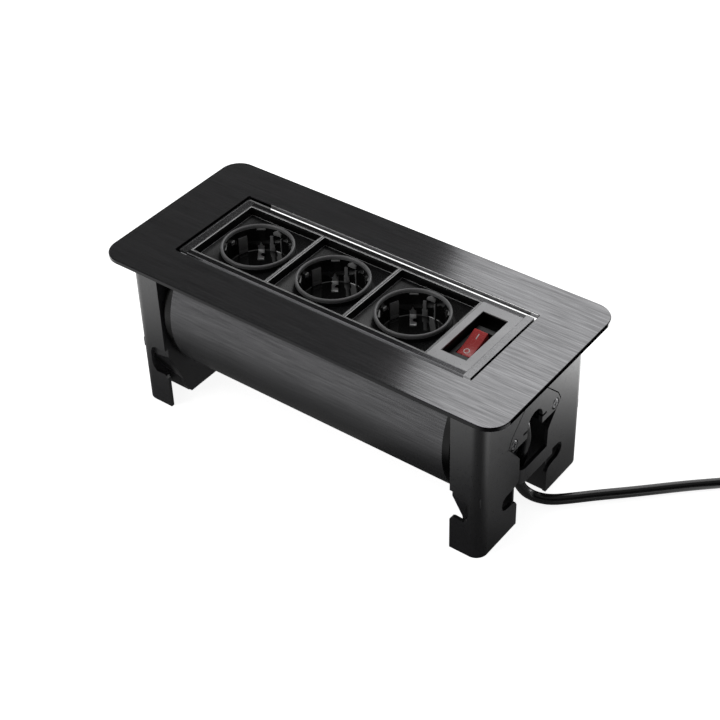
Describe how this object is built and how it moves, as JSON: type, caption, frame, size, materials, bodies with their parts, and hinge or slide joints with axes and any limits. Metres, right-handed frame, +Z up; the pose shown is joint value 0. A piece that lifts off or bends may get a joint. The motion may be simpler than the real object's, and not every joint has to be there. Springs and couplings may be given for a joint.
{
  "type": "flip-over desk socket unit",
  "caption": "Desk power strip: a flange plate for a desk cut-out with a turning drum that carries earthed sockets and a rocker switch, with its mains lead.",
  "frame": {"origin": "under the middle of the unit, at the level of the feet of the end brackets", "axes": "+X along the unit towards the switch and the mains lead, +Y to the back, +Z up out of the flange plate"},
  "size_m": [0.454, 0.1782, 0.105],
  "materials": {
    "plate_metal": "dark anodised, brushed along the length",
    "bracket_metal": "black satin powder coat",
    "drum_metal": "dark anodised, brushed",
    "rail_metal": "dark anodised, fine ridges",
    "screw_metal": "zinc plated",
    "black_plastic": "moulded, satin",
    "tray_plastic": "fine speckled texture",
    "washer_plastic": "acetal",
    "clip_metal": "nickel plated spring brass",
    "busbar_brass": "plain",
    "terminal_plastic": "natural polyamide",
    "rocker_red": "translucent red, lit from inside",
    "lead_pvc": "black PVC",
    "pin_metal": "nickel plated brass"
  },
  "bodies": {
    "frame": {"top_plate": "plate_metal", "end_bracket_right": "bracket_metal", "end_bracket_left": "bracket_metal", "hub_plate_right": "bracket_metal", "hub_plate_left": "bracket_metal", "hub_screws": "screw_metal", "flange_screws": "screw_metal", "pivot_washer_right": "washer_plastic", "pivot_washer_left": "washer_plastic", "cable_gland": "black_plastic", "power_cable": "lead_pvc", "cable_coil": "lead_pvc", "coil_tie": "black_plastic", "plug_lead": "lead_pvc", "plug_body": "lead_pvc", "plug_pins": "pin_metal", "plug_earths": "pin_metal"},
    "drum": {"drum_shell": "drum_metal", "drum_lid": "drum_metal", "rail_back": "rail_metal", "rail_front": "rail_metal", "end_cap_right": "black_plastic", "end_cap_left": "black_plastic", "cap_screws": "screw_metal", "socket_1": "tray_plastic", "socket_2": "tray_plastic", "socket_3": "tray_plastic", "earth_clip_1": "clip_metal", "earth_clip_2": "clip_metal", "earth_clip_3": "clip_metal", "line_busbar": "busbar_brass", "neutral_busbar": "busbar_brass", "switch_panel": "black_plastic", "switch_housing": "black_plastic", "switch_tabs": "clip_metal", "terminal_block": "terminal_plastic", "terminal_screws": "screw_metal", "inner_lead": "lead_pvc"},
    "rocker_body": {"rocker": "rocker_red"}
  },
  "joints": [
    {"name": "drum_flip", "type": "hinge", "parent": "frame", "child": "drum", "pos_m": [0, 0, 0.0635], "axis": [1, 0, 0], "range_deg": [0, 180]},
    {"name": "rocker_tilt", "type": "hinge", "parent": "drum", "child": "rocker_body", "pos_m": [0.0812, 0, 0.0928], "axis": [1, 0, 0], "range_deg": [-34, 0]}
  ]
}
